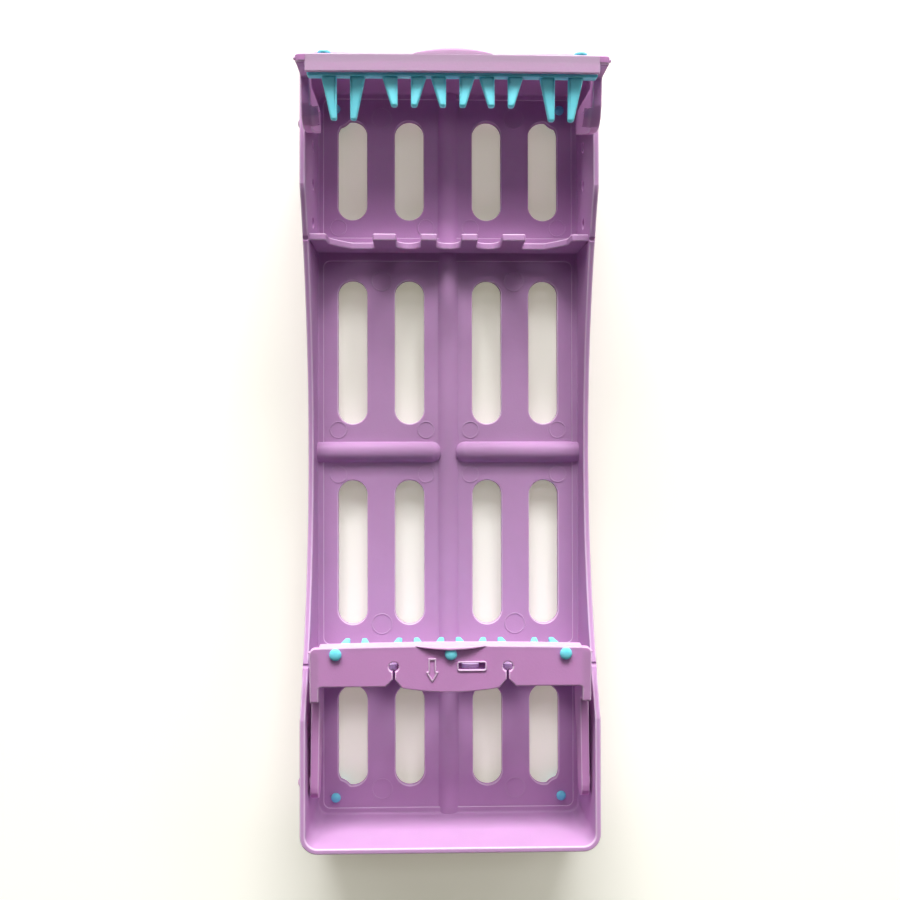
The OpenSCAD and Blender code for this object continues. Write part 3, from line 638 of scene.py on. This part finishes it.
def both_arms(line, rows, pull=None):
    """One form on the right arm, its profile carried out along the hinge axis, and its mirror image on the
    left."""
    rows = np.array(rows)
    return [moulding([line], r, sideways, pull=pull) for r in (rows, rows[::-1] * (1, -1, 1))]


def splayed(form, way):
    """A form of one arm, moved out by its distance from the end of the step times the splay over that
    distance."""
    points, *rest = form
    out = np.clip(leg_a - points[:, 1:2], -5, None) * arm_splay / leg_a
    return (points + (way, 0, 0) * out, *rest)


def dome(r, low, high, weight=0.0, point=0.05):
    """Rows of inset, height and edge weight: a quarter ellipse from the full radius up to a small flat
    point."""
    t = np.linspace(0, np.pi / 2, 5)
    return [((r - point) * (1 - np.cos(a)), low + (high - low) * np.sin(a), weight) for a in t]


arm_forms = both_arms(arm_line, side(arm_in, half_w - apart, 0.3))
arm_forms += both_arms(keel_line, keel_rows, keel_pull)
clamp_forms += [splayed(form, way) for form, way in zip(arm_forms, (1, -1, 1, -1))]

# Round stubs on both arms: the trunnion, the collar round it, and a nub on the bar's end. Each has its
# place along and above the arm, its radius, its root, its end and the height of its dome.
wall_x = tray_w / 2 - lean(axis_z)
stubs = ((0, 0, 1.2, arm_in + 1, wall_x + 1.5, 0.5), (0, 0, 2.1, half_w - 0.3, wall_x - 1.8, 0.1),
         (reach - 1.9, bar_b - bar_t / 2, 0.4, half_w - 0.5, half_w + 0.35, 0.3))
# Their domes are painted pale as a highlight, at an edge weight of 0.5.
for a, b, r, root, end, dome_h in stubs:
    clamp_forms += both_arms(circle(a, b, r, 24), [(0, root, 0)] + dome(r, end - dome_h, end, 0.5))


def hinged(forms, end, angle):
    """Forms turned open by an angle at the front or rear hinge: along the arm and above it become Y and Z by
    its cosine and sine, and the rear end is the front one turned half round."""
    c, s = np.cos(np.radians(angle)), np.sin(np.radians(angle))
    axes = np.array([(-end, 0, 0), (0, -end * c, s), (0, end * s, c)])
    return [(points @ axes + (0, end * hinge_y, axis_z), *rest) for points, *rest in forms]


clamps = {"front_clamp": (-1, 5), "rear_clamp": (1, 82)}          # the end along Y, and degrees open at rest
for name, (end, angle) in clamps.items():
    piece(name + "_frame", hinged(clamp_forms, end, angle), clamp_plastic, name, name)


# Combs. Each is one piece of moulded silicone rubber: a strip under the bar with five pairs of soft
# fingers, pulled through three holes of the bar by its plugs. It is a little shiny and lets some light in.
strip_half, strip_d, strip_h = 33, 3.3, 2.8
pair_gap, finger_root, finger_tip, finger_t = 3, 3.5, 1.4, 1.7     # gap in a pair, widths, and thickness
finger_pairs = ((-24.8, 9.6, 2), (-11, 6.8, 9), (0, 6.8, 9), (11, 6.8, 9), (24.8, 9.6, 2))
plug_x, plug_r, plug_h = 29, 1.55, 1.0
plug_a = reach - flange_t - strip_d / 3


def rubber(name, body_colour, deep_colour, rough):
    """Silicone rubber from a polished mould: soft gloss that a little dust breaks up, faint cloudiness
    between two colours, and light that spreads under the skin."""
    cloud_mm, dust_mm = 4, 0.7
    material = bpy.data.materials.new(name)
    material.use_nodes = True
    tree = material.node_tree
    tree.nodes.clear()
    place = put(tree, "ShaderNodeTexCoord").outputs["Object"]
    cloud = put(tree, "ShaderNodeTexNoise", {"Vector": place, "Scale": 1000 / cloud_mm, "Detail": 2.0})
    dust = put(tree, "ShaderNodeTexNoise", {"Vector": place, "Scale": 1000 / dust_mm, "Detail": 2.0})
    colour = put(tree, "ShaderNodeMix", {0: cloud.outputs["Fac"], 6: linear(deep_colour),
                                         7: linear(body_colour)}, data_type="RGBA")
    gloss = put(tree, "ShaderNodeMapRange", {"Value": dust.outputs["Fac"], "To Min": rough - 0.05,
                                             "To Max": rough + 0.1})
    bump = put(tree, "ShaderNodeBump", {"Height": dust.outputs["Fac"], "Strength": 0.06, "Distance": 0.0001})
    skin = put(tree, "ShaderNodeBsdfPrincipled", {
        "Base Color": colour.outputs[2], "Roughness": gloss.outputs["Result"],
        "Normal": bump.outputs["Normal"], "IOR": 1.41, "Specular IOR Level": 0.3, "Subsurface Weight": 0.35,
        "Subsurface Radius": (0.4, 1.0, 1.0), "Subsurface Scale": 0.002})
    put(tree, "ShaderNodeOutputMaterial", {"Surface": skin.outputs[0]})
    return material


silicone = rubber("moulded silicone rubber", "#8cf0ff", "#76e4fa", 0.3)
comb_forms = [moulding([strip_line(strip_half, flange_t + apart, flange_t + strip_d, 0.5)],
                       side(bar_low - strip_h, bar_low + 0.05, 0.4))]

# Each pair of fingers has its place across, its length, and its tilt in degrees; a finger tapers from
# its root to its tip, on its outer side
finger_side = side(-finger_t / 2, finger_t / 2, 0.45)
for x, length, tilt in finger_pairs:
    c, s = np.cos(np.radians(tilt)), np.sin(np.radians(tilt))
    axes = np.array([(1, 0, 0), (0, -s, c), (0, -c, -s)])
    root = (x, inner_edge(x) - flange_t - strip_d / 2, bar_low - strip_h)
    near = pair_gap / 2
    finger = shaped([(near, 1, 0.2), (near, -length, 0.5), (near + finger_tip, -length, 0.6),
                     (near + finger_root, 0, 1.5), (near + finger_root, 1, 0.2)], 6)
    comb_forms += [moulding([line], finger_side, axes, root) for line in (finger, (finger * (-1, 1))[::-1])]
head_rows = [(0.7, bar_low, 0), (0.7, bar_b + 0.1, 0), (0.15, bar_b + 0.12, 0), (0, bar_b + 0.3, 0)]
head_rows += dome(plug_r, bar_b + 0.45, bar_b + plug_h)
comb_forms += [moulding([circle(x, plug_a, plug_r)], head_rows) for x in (-plug_x, 0, plug_x)]
for name, (end, angle) in clamps.items():
    comb = name.replace("clamp", "comb")
    piece(comb + "_rubber", hinged(comb_forms, end, angle), silicone, name, comb)


# Feet. Four silicone pads, each moulded with a stem that is pulled up through a hole in a floor corner
# until its round head stands inside the tray.
foot_r, stem_r, head_r, head_h = 4, 0.93, 1.35, 1.2
stem_in, head_in = foot_r - stem_r, foot_r - head_r
pad = [(1.1, 0, 0), (0.5, 0.08, 0), (0.15, 0.4, 0), (0, 0.9, 0), (0, foot_h - 0.1, 0),
       (stem_in, foot_h - apart, 0), (stem_in, floor_z + 0.05, 0), (head_in + 0.1, floor_z + 0.06, 0),
       (head_in, floor_z + 0.3, 0)]
pad += [(head_in + inset, z, edge) for inset, z, edge in dome(head_r, floor_z + 0.4, floor_z + head_h)]
for row, y in (("front", -foot_y), ("rear", foot_y)):
    for hand, x in (("left", -foot_x), ("right", foot_x)):
        node = row + "_" + hand + "_foot"
        foot = moulding([circle(x, y, foot_r, 40)], pad)
        piece(node + "_rubber", [foot], silicone, "tray", node)
